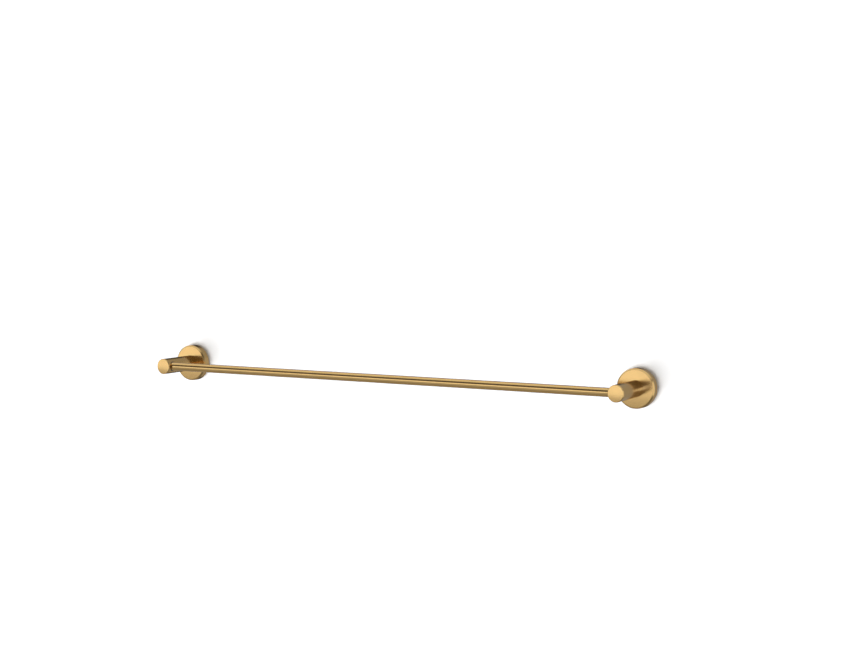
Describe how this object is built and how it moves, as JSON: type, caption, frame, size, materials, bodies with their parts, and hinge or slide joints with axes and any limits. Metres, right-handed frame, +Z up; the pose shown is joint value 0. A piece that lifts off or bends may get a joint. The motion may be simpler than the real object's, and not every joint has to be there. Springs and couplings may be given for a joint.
{
  "type": "wall-mounted towel rack",
  "caption": "Wall-mounted bathroom towel rack: a slim round bar between round posts on concealed-fixing roses, in brushed gold.",
  "frame": {"origin": "on the wall plane, midway between the four wall screws, level with the posts' axes", "axes": "+X along the bar, +Y into the wall, +Z up"},
  "size_m": [0.8, 0.114, 0.055],
  "materials": {
    "brushed_gold": "brushed satin",
    "stainless_steel": "turned",
    "zinc_plated_steel": "zinc plated",
    "black_nylon": "moulded"
  },
  "bodies": {
    "wall_fittings": {"left_wall_bracket": "zinc_plated_steel", "left_upper_wall_screw": "stainless_steel", "left_lower_wall_screw": "stainless_steel", "left_rose": "brushed_gold", "left_rose_grub_screw": "stainless_steel", "left_post": "brushed_gold", "left_post_screw": "stainless_steel", "left_lock_washer": "zinc_plated_steel", "left_bar_bush": "black_nylon", "right_wall_bracket": "zinc_plated_steel", "right_upper_wall_screw": "stainless_steel", "right_lower_wall_screw": "stainless_steel", "right_rose": "brushed_gold", "right_rose_grub_screw": "stainless_steel", "right_post": "brushed_gold", "right_post_screw": "stainless_steel", "right_lock_washer": "zinc_plated_steel", "right_bar_bush": "black_nylon"},
    "bar": {"towel_bar": "brushed_gold"}
  },
  "joints": [
    {"name": "bar_spin", "type": "hinge", "parent": "wall_fittings", "child": "bar", "pos_m": [0, -0.069, 0], "axis": [1, 0, 0], "continuous": true}
  ]
}
